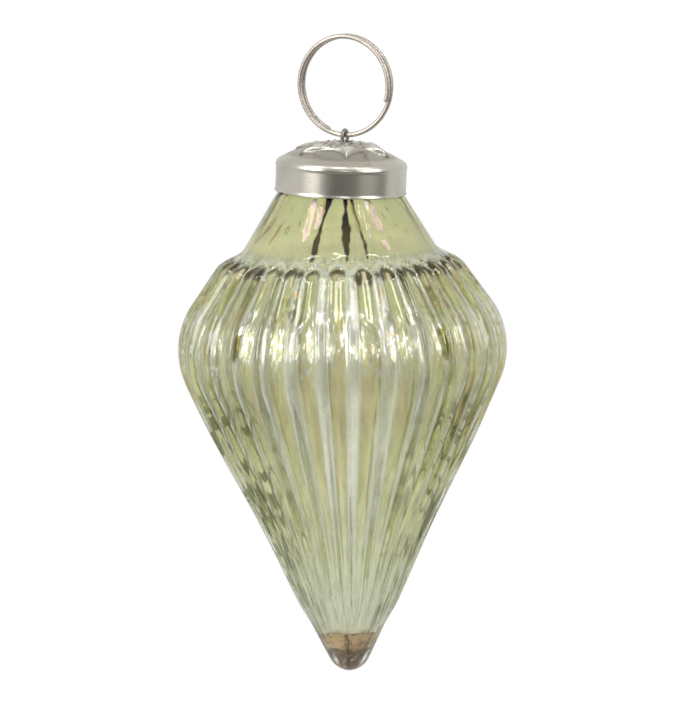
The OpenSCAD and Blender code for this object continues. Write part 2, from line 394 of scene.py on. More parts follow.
def inside():
    arc_r = BELLY_ROUND - INSET
    flank = BELLY_CENTRE + arc_r * vec(cos(UPPER_SLOPE), sin(UPPER_SLOPE))
    lining = WALL / cos(CONE_SLOPE)
    ledge = LEDGE_IN - LEDGE_WALL * vec(-LEDGE_DIR[1], LEDGE_DIR[0])
    down_cone = vec(tan(CONE_SLOPE), -1)
    corner = crossing(LEDGE_IN - vec(lining, 0), down_cone, ledge, LEDGE_DIR)
    low = crossing(flank, vec(-tan(UPPER_SLOPE), 1), ledge, LEDGE_DIR)
    neck = vec(NECK_R - WALL, CONE_TOP[1] - (lining - WALL) / tan(CONE_SLOPE))
    path = np.concatenate([
        [vec(NECK_R - WALL, LIP[1] - LIP_ROUND), neck],
        eased(neck, corner, low, INSIDE_CORNER_ROUND, CORNER_STEPS),
        eased(corner, low, flank, INSIDE_LEDGE_ROUND, EDGE_STEPS),
        arc(BELLY_CENTRE, arc_r, UPPER_SLOPE, -LOWER_SLOPE, ARC_STEPS),
        arc(TIP_CENTRE, TIP_ROUND - INSET, -LOWER_SLOPE, POLE_ANGLE, INNER_TIP_STEPS),
    ])
    path[:, 0] *= 1 - TIP_NARROWER * smooth((POOL_TOP_Z + NARROWS_OVER - path[:, 1]) / NARROWS_OVER)
    path[:, 1] -= TIP_DEEPER * smooth((TIP_CENTRE[1] + DEEPENS_ABOVE - path[:, 1]) / DEEPENS_OVER)
    return respaced(path, INNER_STEP)


def outward(path):
    """Unit normals of a path that runs down the outside."""
    step = np.gradient(path, axis=0)
    step /= np.linalg.norm(step, axis=1)[:, None]
    return np.stack([-step[:, 1], step[:, 0]], 1)


theta = round_angles(COLUMNS)


def waves(count, around, height, amount):
    """A seamless hand-made waviness: a sum of slow waves round and down the body."""
    ks = rng.integers(around[0], around[1], count)
    ms = rng.uniform(-1, 1, count) * height
    ps = rng.uniform(0, 2 * pi, count)

    def field(z):
        total = np.zeros((len(z), len(theta)))
        for k, m, p in zip(ks, ms, ps):
            total += np.sin(k * theta[None] + m * z[:, None] + p)
        return amount * total / sqrt(count)
    return field


wander = waves(count=6, around=(2, 9), height=0.08, amount=0.06)
depth_of = rng.uniform(0.88, 1.08, FLUTES)
arch_of = rng.uniform(-0.35, 0.35, FLUTES)
# Strength of the painted shade in each flute's hollow
cave_of = rng.uniform(0.45, 1.1, FLUTES)
glint_of = rng.uniform(0.0, 1.0, FLUTES)
tone_of = rng.uniform(0.0, 1.0, FLUTES)
outer_wave = waves(count=10, around=(3, 40), height=0.25, amount=0.03)
inner_wave = waves(count=14, around=(3, 26), height=0.22, amount=0.06)
dimple_wave = waves(count=16, around=(10, 70), height=1.1, amount=0.035)
fold_wave = waves(count=8, around=(4, 30), height=1.2, amount=1.0)


def flute_field(path):
    """At each point of a path and each column: the flute's number, the place across it from 0 to 1, the
    distance from its middle, 1 on a ridge, and the share of the flute's depth."""
    z = path[:, 1:]
    place = theta[None] / (2 * pi) * FLUTES + wander(path[:, 1])
    flute = np.floor(place).astype(int) % FLUTES
    across = np.abs(1 - 2 * (place - np.floor(place)))
    below = (path - ARCH_CROWN) @ LEDGE_DIR
    below = np.where(path[:, 1] > ARCH_CROWN[1], -1.0, below)[:, None] + arch_of[flute]
    from_arch = np.clip(1 - below / ARCH_LEN, 0, 1)
    beside = 1 - np.minimum(1, np.hypot(across, from_arch))
    bead = np.clip(1 - (beside / BEAD_SHARE) ** 2, 0, 1)
    ridge = BEAD_PART * bead + (1 - BEAD_PART) * (1 + np.cos(pi * beside)) / 2
    alive = np.clip((z - RIDGE_END_Z) / RIDGE_RUNOUT, 0, 1)
    filled = ridge + (1 - ridge) * TIP_FILL * smooth((TIP_FILL_Z - z) / TIP_FILL_OVER)
    return flute, place - np.floor(place), across, ridge, (1 - alive * filled) * depth_of[flute]


def skin_rows(inn, out):
    """Rows of points of the closed skin: up the inside, over the lip and down the outside."""
    *_, drop_out = flute_field(out)
    *_, drop_in = flute_field(inn)
    normal = outward(out)
    drop = FLUTE_DEPTH * (out[:, :1] / BODY_R) ** FLUTE_TAPER * drop_out
    fade = smooth((out[:, :1] - WAVE_FADE_R[0]) / WAVE_FADE_R[1])
    wave = np.minimum(outer_wave(out[:, 1]), WAVE_LIMIT) * fade
    ledge = np.exp(-((out[:, 1:] - ARCH_CROWN[1] - FOLD_ABOVE) / FOLD_SPREAD) ** 2)
    drop = drop + SKIN_INSET - wave - FOLD_RELIEF * ledge * fold_wave(FOLD_RATE * out[:, 1])
    fluted = inn[:, 1:] < ARCH_CROWN[1]
    swell = np.where(fluted, INNER_RIDGE * (1 - drop_in) - INNER_FLUTE * drop_in, 0)
    swell = swell + inner_wave(inn[:, 1]) + dimple_wave(inn[:, 1]) * fluted
    r_in = inn[:, :1] + swell * smooth((inn[:, :1] - INNER_FADE_R[0]) / INNER_FADE_R[1])
    lip = np.array([vec(NECK_R - WALL + x, LIP[1] + z) for x, z in LIP_EDGES] +
                   [vec(NECK_R - x, LIP[1] + z) for x, z in LIP_EDGES[::-1]])
    lip_r, lip_z, z_in = (np.repeat(v, COLUMNS, 1) for v in (lip[:, :1], lip[:, 1:], inn[:, 1:]))
    r = np.concatenate([r_in, lip_r, out[:, :1] - normal[:, :1] * drop])
    z = np.concatenate([z_in, lip_z, out[:, 1:] - normal[:, 1:] * drop])
    return round_points(r, theta, z)


def round_the_body(radius, along):
    """Places for noise that runs evenly round the body, whatever its width there."""
    return round_points(np.full(along.shape, radius), theta, along).reshape(-1, 3)


def glass():
    """The closed skin of clear glass, and the sheet of lustre just inside its inner face."""
    out, inn = outline(), inside()[::-1]
    rows = skin_rows(inn, out)
    poles = np.array([[0, 0, TIP_Z + INSET], [0, 0, TIP_Z + POLE_GAP]])
    verts = np.concatenate([rows.reshape(-1, 3), poles])
    faces = closed_faces(len(rows), COLUMNS)
    skin = mesh_object("fluted_glass", hung_glass(verts), faces, "bauble", "glass_body")
    on_inside = np.zeros(len(faces), np.int32)
    on_inside[:(len(inn) - 1) * COLUMNS] = 1
    on_inside[len(faces) - 2 * COLUMNS:len(faces) - COLUMNS] = 1
    skin.data.polygons.foreach_set("material_index", on_inside)
    add_points(skin, grain=np.concatenate([round_the_body(BODY_R, rows[:, :, 2]), poles]))

    film = rows[:len(inn)].copy()
    r_in = np.hypot(film[:, :, 0], film[:, :, 1])
    film[:, :, :2] *= (1 + FILM_GAP / np.maximum(r_in, 1))[:, :, None]
    film[:, :, 2] -= FILM_GAP * smooth((FILM_DROP_Z - inn[:, 1]) / FILM_DROP_OVER)[:, None]
    points = np.concatenate([film.reshape(-1, 3), poles[:1] - vec(0, 0, FILM_GAP)])
    faces = grid_faces(len(inn), COLUMNS) + fan(0, COLUMNS, len(inn) * COLUMNS, True)
    sheet = mesh_object("lustre_film", hung_glass(points), faces, "bauble", "glass_body")
    marks, loop = film_marks(inn)
    grain = round_the_body(BODY_R, rows[:len(inn), :, 2])
    add_points(sheet, grain=np.concatenate([grain, poles[:1]]),
               loops=np.concatenate([round_the_body(LOOP_SCALE * BODY_R, loop), poles[:1]]),
               **{name: np.append(mark.ravel(), 0) for name, mark in marks.items()})
    return skin, sheet


# Streaks of the lustre, each a list of (degrees from the front, height, half width)
DRIPS = [
    [(-5.5, 29.5, 1.0), (-8.2, 28.2, 0.7), (-10.6, 26.6, 0.35), (-12.4, 24.6, 0.18), (-14.2, 23, 0.28),
     (-15.6, 20.8, 0.6), (-16.4, 19.2, 0.55), (-17, 17.2, 0.3)],
    [(7, 29.5, 0.4), (6.4, 28.3, 0.5), (5.6, 26.4, 0.2), (4.8, 23.4, 0.8), (4.5, 21.4, 0.75),
     (4.2, 19.4, 0.45), (4, 17.3, 0.15)],
    [(11, 29.5, 0.25), (11.8, 28, 0.25), (13.4, 25.7, 0.14), (15.3, 22.9, 0.14), (16.5, 20.4, 0.3),
     (17, 17.6, 0.2)],
    [(60, 27.5, 0.06), (70, 24.6, 0.12), (80, 21.6, 0.06)],
    [(-70, 25.4, 0.06), (-75, 23.5, 0.16), (-80, 21.2, 0.08)],
    [(-58, 24.4, 0.05), (-63, 22.2, 0.18), (-68, 19.8, 0.08)],
    [(-62, 29.6, 0.6), (-69, 28.8, 1.0), (-75, 28.1, 0.7), (-80, 27.3, 0.3)],
    [(-30, 24.6, 0.05), (-32, 24, 0.1), (-31, 23.3, 0.05)],
    [(43, 26.4, 0.05), (44.5, 26, 0.12), (46, 25.6, 0.05)],
    [(46, 23.4, 0.04), (47, 23, 0.1), (49, 22.5, 0.04)],
    [(52, 22.4, 0.04), (54, 21.9, 0.1), (55, 21.3, 0.05)],
    [(36, 25.5, 0.04), (37, 25.1, 0.1), (38.5, 24.3, 0.05)],
    [(35, 21.5, 0.04), (36, 21.1, 0.1), (37, 20.6, 0.04)],
    [(-45, 26.5, 0.04), (-44, 26.1, 0.1), (-43, 25.6, 0.04)],
    [(-47, 24.2, 0.04), (-49, 22.8, 0.1), (-51, 21.4, 0.04)],
]
RUST = [
    [(9.8, 28.2, 0.12), (11.6, 25.9, 0.22), (13.6, 23.4, 0.16), (14.6, 22, 0.08)],
    [(-12.6, 28.4, 0.1), (-13.4, 27, 0.22), (-14.2, 25.6, 0.12)],
    [(-60, 24.6, 0.2), (-66, 22, 0.4), (-72, 19.6, 0.25)],
    [(-74, 27.8, 0.5), (-66, 24.8, 0.2)],
    [(-80, 24.5, 0.4), (-84, 21, 0.5), (-86, 19, 0.3)],
    [(-62, 29.3, 0.7), (-57, 28.2, 0.3)],
    [(-48, 23.9, 0.1), (-50.5, 22, 0.3), (-53, 20.1, 0.15)],
]
PEARL = [
    [(-23, 28.2, 0.45), (-23.5, 26.5, 0.75), (-24, 24.5, 0.55), (-24.5, 22.5, 0.7), (-25, 20.8, 0.3)],
    [(-15.4, 27, 0.5), (-17, 24.6, 0.5), (-18, 23, 0.2)],
    [(27, 28, 0.5), (28.5, 26.6, 0.7), (29.5, 25, 0.5), (31, 23.5, 0.8), (31, 22.3, 0.3)],
    [(20, 26, 0.2), (21, 23.5, 0.35), (21.5, 21, 0.15)],
    [(30, 21, 0.5), (31.5, 19.8, 0.5), (33, 18.9, 0.7)],
]
DARK = [
    [(-41, 5.6, 0.5), (-41.5, 4.2, 0.9), (-42, 2.4, 0.8), (-42, 0.6, 0.3)],
    [(40.5, 6.0, 0.5), (41, 4.6, 0.9), (41, 2.2, 0.8), (41, 0.2, 0.3)],
]

# Kinds of streak, as name, paths and softness of the edge
STREAKS = (("drip", DRIPS, 0.12), ("rust", RUST, 0.3), ("pearl", PEARL, 0.3), ("dark", DARK, 0.9))
SWAY_DEG = 0.25
SWAY_RATES = (1.7, 3.9)
SWELL = 0.12
SWELL_RATE = 3.3
STREAK_END = 0.3

# One bubble in the neck
BUBBLE_TURN = radians(-41)
BUBBLE_Z = 22.7
BUBBLE_W = 0.35
BUBBLE_H = 0.6
BUBBLE_DEPTH = 0.8

# Marks on the film: the side that the photograph shows, in radians from the front
SEEN_HALF = 2.0
SEEN_FADE = 0.6
BESIDE_FROM = 0.35
BESIDE_OVER = 0.5
MIDDLE_BLEND = 0.15

# Painted shade in the hollows under the arches, with a painted highlight on the crest over each
CAVE_DROP = 1.3
CAVE_FOLLOWS_ARCH = 0.6
CAVE_BOW = 1.3
CAVE_DEPTH = 2.8
CAVE_HALF = 0.98
CAVE_SQUARENESS = 5
CAVE_FADE = 0.8
CAVE_SOFT = 0.3
CREST = (-1.0, 0.3, 0.1, 0.3)

# Painted golden glints near the hollows, each at its own height
GLINT_Z = 13.6
GLINT_RANGE = 1.2
GLINT_H = 1.1
GLINT_PLACE = 0.58
GLINT_HALF = 0.13
GLINT_SOFT = 0.06
GLINT_FROM = 0.15
GLINT_OVER = 0.2

# Pale lining of the neck and ledge, as low limit, rise, high limit and fall
VEIL = (16.4, 1.0, 27, 8)
FAINT = (14.2, 0.8, 18.6, 0.6)

# Painted shadows in loops at the sides, and the film's drop into the tip
LOOP_BOW = 5.5
LOOP_SWAY = 4
LOOP_RATE = 0.02
LOOP_SCALE = 0.06
FILM_DROP_Z = -20
FILM_DROP_OVER = 30


def streak(z, radius, path, soft):
    """A mark down the inside, 1 on it, along points of (degrees from the front, height, half width)."""
    turn, height, half = np.array(path).T
    order = np.argsort(height)
    sway = np.sin(SWAY_RATES[0] * z + turn[0]) + 0.5 * np.sin(SWAY_RATES[1] * z + 2 * turn[0])
    at = np.radians(np.interp(z, height[order], turn[order]) + SWAY_DEG * sway) + FRONT
    wide = np.interp(z, height[order], half[order]) * (1 + SWELL * np.sin(SWELL_RATE * z + turn[0]))
    off = wrapped(theta[None] - at[:, None])
    mark = smooth((wide[:, None] - np.abs(off) * radius[:, None]) / soft + 0.5)
    return mark * between(z, height.min(), STREAK_END, height.max(), STREAK_END)[:, None]


def film_marks(inn):
    """The marks at each point of the film by name, and the heights that the painted shadows in loops follow.
    """
    z = inn[:, 1:]
    flute, place, across, ridge, _ = flute_field(inn)
    radius = np.maximum(inn[:, 0], 0.1)
    turned = wrapped(theta - FRONT)
    seen = smooth((SEEN_HALF - np.abs(turned)) / SEEN_FADE)[None]
    # Painted shade in the hollows under the arches, a painted highlight on the crest over each, painted
    # glints near them
    under = ARCH_CROWN[1] - CAVE_DROP - CAVE_FOLLOWS_ARCH * arch_of[flute] - CAVE_BOW * across ** 2 - z
    thick = CAVE_DEPTH * (1 - (across / CAVE_HALF) ** CAVE_SQUARENESS) * cave_of[flute]
    level = smooth((GLINT_H - np.abs(z - GLINT_Z - GLINT_RANGE * glint_of[flute])) / CAVE_SOFT)
    glint = smooth((GLINT_HALF - np.abs(place - GLINT_PLACE)) / GLINT_SOFT) * level
    marks = {
        "ridge": ridge,
        "tone": tone_of[flute],
        # Half of each flute, mirrored at the front, that takes the painted shade and dark reflections
        "outer": (2 * place - 1) * np.clip(turned / MIDDLE_BLEND, -1, 1)[None],
        "beside": smooth((np.abs(turned) - BESIDE_FROM) / BESIDE_OVER)[None],
        "cave": between(under, 0, CAVE_SOFT, thick, CAVE_FADE) * seen,
        # Painted highlight on the crest over each hollow
        "crest": between(under, *CREST) * seen,
        "glint": glint * smooth((glint_of[flute] - GLINT_FROM) / GLINT_OVER),
        "veil": between(z, *VEIL) * seen,
        "faint": between(z, *FAINT) * (1 - seen),
    }
    for name, paths, soft in STREAKS:
        marks[name] = np.max([streak(inn[:, 1], radius, path, soft) for path in paths], axis=0)
    aside = (turned - BUBBLE_TURN)[None] * radius[:, None]
    bubble = np.hypot(aside / BUBBLE_W, (z - BUBBLE_Z) / BUBBLE_H)
    marks["drip"] = np.maximum(marks["drip"], BUBBLE_DEPTH * smooth(1.3 - 3.2 * np.abs(bubble - 1)))
    loop = z + LOOP_BOW * across ** 2 + LOOP_SWAY * fold_wave(LOOP_RATE * inn[:, 1])
    return {name: np.broadcast_to(mark, ridge.shape) for name, mark in marks.items()}, loop


# Lacquer: degrees from the front of its cracks, radii of its top as shares of the whole, and the waves of
# its edge as (rise, waves round, phase)
CRACKS = (-4, 58, 66, -80, 150, -140)
POOL_RADII = np.array([0.05, 0.35, 0.6, 0.78, 0.9, 0.97])
POOL_WAVES = ((0.03, 2, 0.6), (0.03, 7, 1), (0.02, 16, 0))


def lacquer():
    """The pool of dried lacquer in the tip, with a meniscus, wetting the film."""
    inn = inside()
    wall = inn[inn[:, 1] < POOL_TOP_Z]
    wall = np.concatenate([[[np.interp(-POOL_TOP_Z, -inn[:, 1], inn[:, 0]), POOL_TOP_Z]], wall])
    side = wall[:, 0] + WETTING
    top_r = side[0] * POOL_RADII
    top_z = POOL_TOP_Z - MENISCUS + 0.1 * (top_r / side[0]) ** 3
    prof = np.concatenate([np.stack([top_r, top_z], 1), np.stack([side, wall[:, 1] - WETTING * 0.3], 1)])
    a = round_angles(POOL_COLUMNS)
    r, z = prof[:, :1], prof[:, 1:]
    rows = round_points(r, a, np.repeat(z, POOL_COLUMNS, 1))
    upper = smooth((z - POOL_TOP_Z + 2.5) / 2.3)
    uneven = POOL_TILT * np.cos(a - FRONT) + sum(rise * np.sin(k * a + p) for rise, k, p in POOL_WAVES)
    higher = upper * r * uneven
    rows[:, :, 2] += higher
    rows[:, :, :2] *= (1 + POOL_SPREAD * higher / side[0])[:, :, None]
    poles = np.array([[0, 0, top_z[0]], [0, 0, prof[-1, 1] - POLE_GAP]])
    verts = np.concatenate([rows.reshape(-1, 3), poles])
    faces = closed_faces(len(rows), POOL_COLUMNS)
    obj = mesh_object("lacquer_pool", hung_glass(verts), faces, "bauble", "tip_lacquer")
    crack = np.zeros((len(rows), POOL_COLUMNS))
    for turn in CRACKS:
        bend = 0.1 * np.sin(2.3 * z + turn) + 0.04 * np.sin(6.1 * z + 2 * turn)
        off = wrapped(a - FRONT - radians(turn))
        crack = np.maximum(crack, np.exp(-((off * r + bend) / CRACK_W) ** 2))
    add_points(obj, grain=verts, crack=np.append(crack.ravel(), [0, 0]))
    return obj


def relief(r, a):
    """Height pressed into the cap's top, at a radius and an angle."""
    turn = np.abs((a * STAR_POINTS / (2 * pi) + 0.5) % 1 - 0.5) * 2
    off = (1 - turn) * pi / STAR_POINTS
    centre = (STAR_R ** 2 - NOTCH_R ** 2) / (2 * (STAR_R * cos(pi / STAR_POINTS) - NOTCH_R))
    bow = np.sqrt(np.maximum((centre - NOTCH_R) ** 2 - (centre * np.sin(off)) ** 2, 0))
    edge = centre * np.cos(off) - bow
    within = smooth((np.minimum(edge, STAR_R) - r) / STAR_EDGE + 0.5)
    star = STAR_RISE * within * smooth((r - STAR_IN_R) / 0.8)
    groove = -GROOVE * np.exp(-((r - edge - GROOVE_OUT) / GROOVE_W) ** 2) * smooth((GROOVE_R - r) / 0.8)
    aside = turn * pi / STAR_POINTS * r
    rib = RIB_RISE * np.exp(-(aside / RIB_W) ** 2) * between(r, *RIB_BAND)
    field = -FIELD_DROP
    for count, ring, size, rise, shift in BEAD_RINGS:
        near = np.abs((a * count / (2 * pi) + shift + 0.5) % 1 - 0.5) / count * 2 * pi * r
        field = field + rise * np.exp(-(near ** 2 + (r - ring) ** 2) / (size ** 2))
    return star + groove + rib + field * between(r, *FIELD_BAND)


def cap_profile():
    """The cap's sheet in section: up its outside to the hole and back down its inside."""
    shoulder = vec(CAP_R - CAP_SHOULDER, SKIRT_H)
    turn_end = shoulder + CAP_SHOULDER * vec(cos(SHOULDER_TURN), sin(SHOULDER_TURN))
    foot, top, crown = vec(*SLOPE_FOOT), vec(*SLOPE_TOP), vec(CROWN_R, CAP_H)
    bead = vec(BEAD_W, 0) * np.linspace(1, 0, 11)[:, None]
    outer = respaced(np.concatenate([
        [vec(CAP_R + x, z) for x, z in RIM_CURL],
        arc(shoulder, CAP_SHOULDER, radians(3), SHOULDER_TURN, 10) + bead,
        eased(turn_end, foot, top, SLOPE_EASE, 5),
        eased(foot, top, crown, SLOPE_EASE, 5),
        [vec(x, CAP_H - drop) for x, drop in CROWN_EDGE],
    ]), CAP_STEP)
    inner = (outer + SHEET * outward(outer))[::-1]
    inner[:, 0] = np.maximum(inner[:, 0], HOLE_R)
    return np.concatenate([outer, inner[::3]])


def cap():
    prof = cap_profile()
    a = round_angles(CAP_COLUMNS)
    r, z = np.repeat(prof[:, :1], CAP_COLUMNS, 1), np.repeat(prof[:, 1:], CAP_COLUMNS, 1)
    pressed = relief(r, a[None]) * smooth((RELIEF_R - r) / 0.6)
    dent = sum(DENT * np.sin(k * a + p) for k, p in DENTS)
    r = r + dent[None] * smooth((r - DENT_FROM_R) / 2) - CAP_INSET
    uneven = np.abs(RIM_WAVE * np.sin(4 * a + 1) + RIM_RIPPLE * np.sin(9 * a))
    z = np.minimum(z + pressed, CAP_H) + uneven[None] * smooth((RIM_WAVE_H - z) / RIM_WAVE_H)
    aside = HOLE_ASIDE * smooth((SLOPE_FOOT[0] - prof[:, :1]) / 3)
    rows = np.stack([r * np.cos(a) + aside, r * np.sin(a), z], 2)
    faces = [f[::-1] for f in grid_faces(len(rows), CAP_COLUMNS, wrap_rows=True)]
    verts = rows.reshape(-1, 3)
    obj = mesh_object("pressed_cap", hung_glass(on_neck(verts)), faces, "bauble", "cap")
    on_top = smooth((10.4 - prof[:, :1]) / 0.8) * smooth((prof[:, 1:] - SKIRT_H) / 1.0)
    beaded = prof[:, :1] < BEADED_R
    soiled = smooth((np.where(beaded, 0.06, 0.22) - pressed) / 0.25) * on_top
    polished = smooth((pressed - np.where(beaded, 0.1, 0.35)) / 0.2) * on_top
    add_points(obj, soiled=soiled.ravel(), polished=polished.ravel())
    return obj


def eyelet():
    bend = arc(vec(LOOP_R + LEG_BEND, -LEG_DROP), LEG_BEND, pi, 1.5 * pi, 14)
    foot = np.linspace(bend[-1], bend[-1] + vec(FOOT_LEN, 0), 6)[1:]
    leg = np.linspace(vec(LOOP_R, 0), bend[0], 10)[:-1]
    half = np.concatenate([leg, bend, foot])
    over = arc(vec(0, 0), LOOP_R, 0, pi, 28)
    path = np.concatenate([half[::-1], over[1:-1], half * vec(-1, 1)])
    path = np.stack([np.zeros(len(path)), path[:, 0], path[:, 1]], 1) + vec(EYELET_X, 0, LOOP_Z)
    verts, faces = tube(path, EYELET_WIRE / 2 * EYELET_FIT, EYELET_SIDES, vec(1, 0, 0))
    return mesh_object("wire_eyelet", hung(verts), faces, "eyelet", "eyelet")


def ring():
    a = np.linspace(0, 360 * RING_TURNS, RING_STEPS)
    turn = np.radians(END_TO_BOTTOM - 90 - a)
    aside = TURN_PITCH * (END_TO_BOTTOM - a) / 360
    path = np.stack([RING_R * np.cos(turn), aside, RING_R * np.sin(turn)], 1) + vec(EYELET_X, 0, RING_Z)
    verts, faces = tube(path, RING_WIRE / 2 * RING_FIT, RING_SIDES, vec(0, 1, 0))
    return mesh_object("wound_ring", hung(verts), faces, "split_ring", "split_ring")


class Nodes:
    """Short ways to add nodes to the tree of a material or the world."""

    def __init__(self, tree):
        self.tree = tree

    def put(self, socket, value):
        if isinstance(value, bpy.types.NodeSocket):
            self.tree.links.new(value, socket)
        elif socket.type == "RGBA":
            socket.default_value = (*value, 1)
        else:
            socket.default_value = value

    def node(self, kind, *values, **props):
        """A node with these properties, and these links or values for its first inputs."""
        made = self.tree.nodes.new("ShaderNode" + kind)
        for key, value in props.items():
            setattr(made, key, value)
        for socket, value in zip(made.inputs, values):
            self.put(socket, value)
        return made

    def fill(self, node, **sockets):
        """The node, with links or values for its inputs by name."""
        for key, value in sockets.items():
            self.put(node.inputs[key.replace("_", " ")], value)
        return node

    def maths(self, operation, a, b, **props):
        return self.node("Math", a, b, operation=operation, **props).outputs[0]

    def ramp(self, value, low, high, to_low=0.0, to_high=1.0):
        limits = (low, high, to_low, to_high)
        return self.node("MapRange", value, *limits, interpolation_type="SMOOTHSTEP").outputs[0]


class Paint(Nodes):
    """A material with one Principled BSDF."""

    def __init__(self, name, **sockets):
        self.material = bpy.data.materials.new(name)
        self.material.use_nodes = True
        super().__init__(self.material.node_tree)
        self.set(**sockets)

    def set(self, **sockets):
        self.fill(self.tree.nodes["Principled BSDF"], **sockets)

    def attribute(self, name, output="Fac"):
        return self.node("Attribute", attribute_name=name).outputs[output]

    def height_of(self, vector):
        return self.node("SeparateXYZ", vector).outputs[2]

    def stretched(self, vector, around, along):
        stretch = (around, around, along)
        return self.node("VectorMath", vector, stretch, operation="MULTIPLY").outputs[0]

    def noise(self, vector, scale=1.0, detail=2.0, roughness=0.5):
        made = self.node("TexNoise")
        self.fill(made, Vector=vector, Scale=scale, Detail=detail, Roughness=roughness)
        return made.outputs["Fac"]

    def times(self, first, *others):
        for other in others:
            first = self.maths("MULTIPLY", first, other)
        return first

    def most(self, a, b):
        return self.maths("MAXIMUM", a, b)

    def without(self, share):
        return self.maths("SUBTRACT", 1.0, share)

    def fade(self, share, start, end):
        """The start where the share is 0 and the end where it is 1."""
        return self.ramp(share, 0.0, 1.0, start, end)

    def band(self, value, rise, fall):
        return self.times(self.ramp(value, *rise), self.ramp(value, *fall))

    def blend(self, share, a, b, kind="MIX"):
        made = self.node("Mix", share, data_type="RGBA", blend_type=kind)
        self.put(made.inputs[6], a)
        self.put(made.inputs[7], b)
        return made.outputs[2]

    def layered(self, colour, *layers):
        """The colour under layers of (where, colour, strength if not whole), the last on top."""
        for where, tint, *strength in layers:
            colour = self.blend(self.times(where, *strength), colour, tint)
        return colour

    def bump(self, height, strength, distance):
        made = self.fill(self.node("Bump"), Strength=strength, Distance=distance, Height=height)
        self.set(Normal=made.outputs[0])


def clear_glass():
    p = Paint("clear_glass", Base_Color=(0.98, 0.99, 0.97), Roughness=0.02, IOR=1.5, Transmission_Weight=1.0)
    ripple = p.noise(p.stretched(p.attribute("grain", "Vector"), 0.25, 0.06), detail=3.0)
    p.bump(ripple, 0.25, 0.0002)
    return p.material


def inner_glass():
    """The inner face, a little duller below the ledge than in the neck."""
    p = Paint("inner_glass", Base_Color=(1, 1, 1), IOR=1.5, Transmission_Weight=1.0)
    height = p.height_of(p.attribute("grain", "Vector"))
    p.set(Roughness=p.ramp(height, ARCH_CROWN[1] - 1, ARCH_CROWN[1] + 2, 0.22, 0.18))
    return p.material


# Colours of the lustre and the lacquer, in linear red, green and blue
OLIVE = (0.68, 0.71, 0.27)
STRAW = (0.74, 0.66, 0.29)
PALE_FLUTE = (0.80, 0.83, 0.46)
CONE_PALE = (0.94, 0.96, 0.56)
LOW_PALE = (0.88, 0.91, 0.69)
FLANK_GREEN = (0.59, 0.64, 0.17)
# Painted light: the sides seen from the front are made paler
PAINTED_SIDE_LIGHT = (0.92, 0.94, 0.56)
MID_OLIVE = (0.52, 0.53, 0.19)
ROD_WHITE = (0.97, 1.0, 0.87)
# Painted highlight along the middle of each rod
ROD_HIGHLIGHT = (1.0, 1.0, 0.96)
# The next two colours are painted reflections below the belly, brown in the flutes and dark grey on the rods
BROWN_REFLECTION = (0.60, 0.47, 0.27)
DARK_REFLECTION = (0.36, 0.41, 0.34)
# Painted shade, on the rods' edges and in loops at the sides
PAINTED_SHADE = (0.18, 0.19, 0.045)
NECK_GREEN = (0.66, 0.69, 0.34)
NECK_GOLD = (0.76, 0.75, 0.38)
VEIL_GREEN = (0.88, 0.90, 0.47)
VEIL_GOLD = (0.94, 0.92, 0.49)
FRILL_DARK = (0.50, 0.54, 0.28)
FRILL_PALE = (0.96, 1.0, 0.82)
FAINT_WHITE = (0.98, 0.99, 0.93)
STAIN = (0.46, 0.31, 0.12)
CREAM = (0.74, 0.71, 0.54)
PATCH = (0.97, 0.96, 0.94)
GOLD = (0.82, 0.62, 0.26)
DIRT = (0.20, 0.18, 0.04)
BEAD_GOLD = (0.98, 0.80, 0.40)
PINK = (0.86, 0.62, 0.76)
PEACH = (1.0, 0.76, 0.62)
HONEY = (1.0, 0.86, 0.50)
RUST_BROWN = (0.62, 0.36, 0.06)
# The next two colours are painted shade in the hollows under the arches
HOLLOW_SHADE_BLACK = (0.05, 0.036, 0.004)
HOLLOW_SHADE_BROWN = (0.14, 0.11, 0.015)
# Painted highlight on the crests over the hollows
CREST_HIGHLIGHT = (0.90, 0.95, 0.80)
# Painted golden glints
GLINT_GOLD = (1.0, 0.90, 0.55)
DARK_OLIVE = (0.16, 0.15, 0.03)
BURNT = (0.10, 0.075, 0.03)
BURNT_TOP = (0.025, 0.016, 0.022)
AMBER = (0.88, 0.64, 0.30)
TOFFEE = (0.60, 0.38, 0.16)
DEEP_BROWN = (0.22, 0.13, 0.045)
CRUST = (0.84, 0.72, 0.50)
PIT = (0.16, 0.09, 0.04)
CRACK_BROWN = (0.10, 0.05, 0.02)

# Height bands of the lustre, each as (start, full), and as a pair where it also ends
NECK_BAND = (15.2, 16.4)
FRILL_BAND = (18.9, 17.6)
BURNT_BAND = (20, 26)
FLANK_BAND = (4, 8)
BELLY_BAND = ((-2, 0), (9, 7))
BELLY_SHIFT = 18.0
BELOW_BAND = ((-1, -4), (-19, -9))
MIDDLE_BAND = ((-4, -9), (-22, -14))
SIDE_BAND = (-4, -12)
CONE_BAND = (-14, -34)
LOW_BAND = (-28, -46)
STAIN_BAND = (POOL_TOP_Z + 2.4, POOL_TOP_Z + 0.5)

# Noises of the lustre, as stretch round and along the body, detail and roughness
LUSTRE_NOISES = {
    "line": (0.3, 0.03, 3.0, 0.5),
    "thread": (1.0, 0.07, 3.0, 0.6),
    "fleck": (0.9, 0.22, 5.0, 0.65),
    "crumb": (1.3, 0.6, 4.0, 0.6),
    "sand": (2.4, 1.0, 3.0, 0.6),
    "cloud": (0.16, 0.1, 3.0, 0.6),
}
LOOP_SQUEEZE = 0.42

# Marks that the layers use as they are
WHOLE_MARKS = ("ridge", "beside", "outer", "tone", "veil", "faint", "rust", "crest", "dark", "drip")


